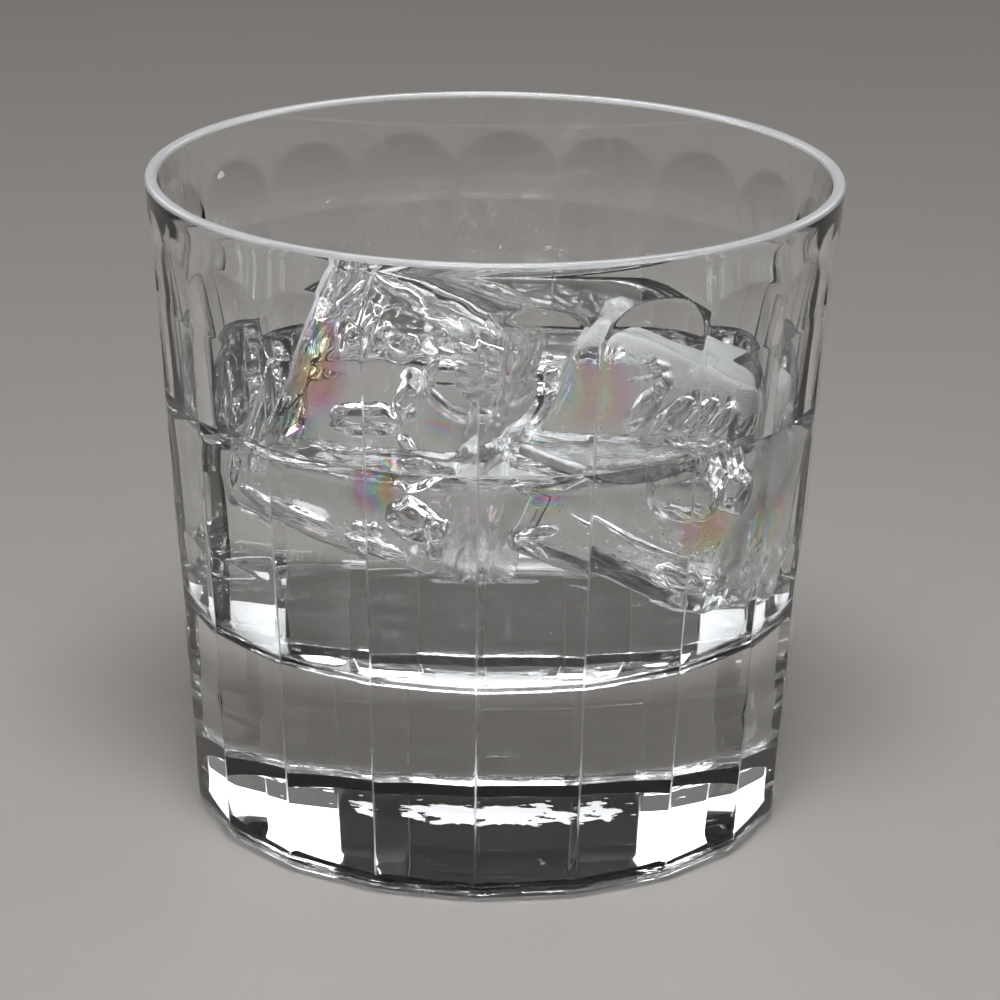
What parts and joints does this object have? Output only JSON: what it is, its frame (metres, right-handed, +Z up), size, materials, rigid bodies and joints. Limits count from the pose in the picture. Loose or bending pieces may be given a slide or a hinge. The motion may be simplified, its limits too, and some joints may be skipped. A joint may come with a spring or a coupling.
{
  "type": "glass of vodka",
  "caption": "Round tumbler with cut panels and a heavy clear foot, part filled with vodka, with melting ice standing in it.",
  "frame": {"origin": "on the table at the middle of the foot, straight under the middle of the mouth", "axes": "+Z up out of the mouth; the side that the picture shows looks along -Y"},
  "size_m": [0.088, 0.088, 0.0835],
  "materials": {
    "glass": "clear colourless polished glass",
    "vodka": "clear colourless liquid",
    "ice": "clear melting ice with bubbles and frosty patches"
  },
  "bodies": {
    "root": {"glass_tumbler": "glass", "vodka": "vodka", "ice_cube_left": "ice", "ice_cube_right": "ice", "ice_chip": "ice"}
  },
  "joints": []
}
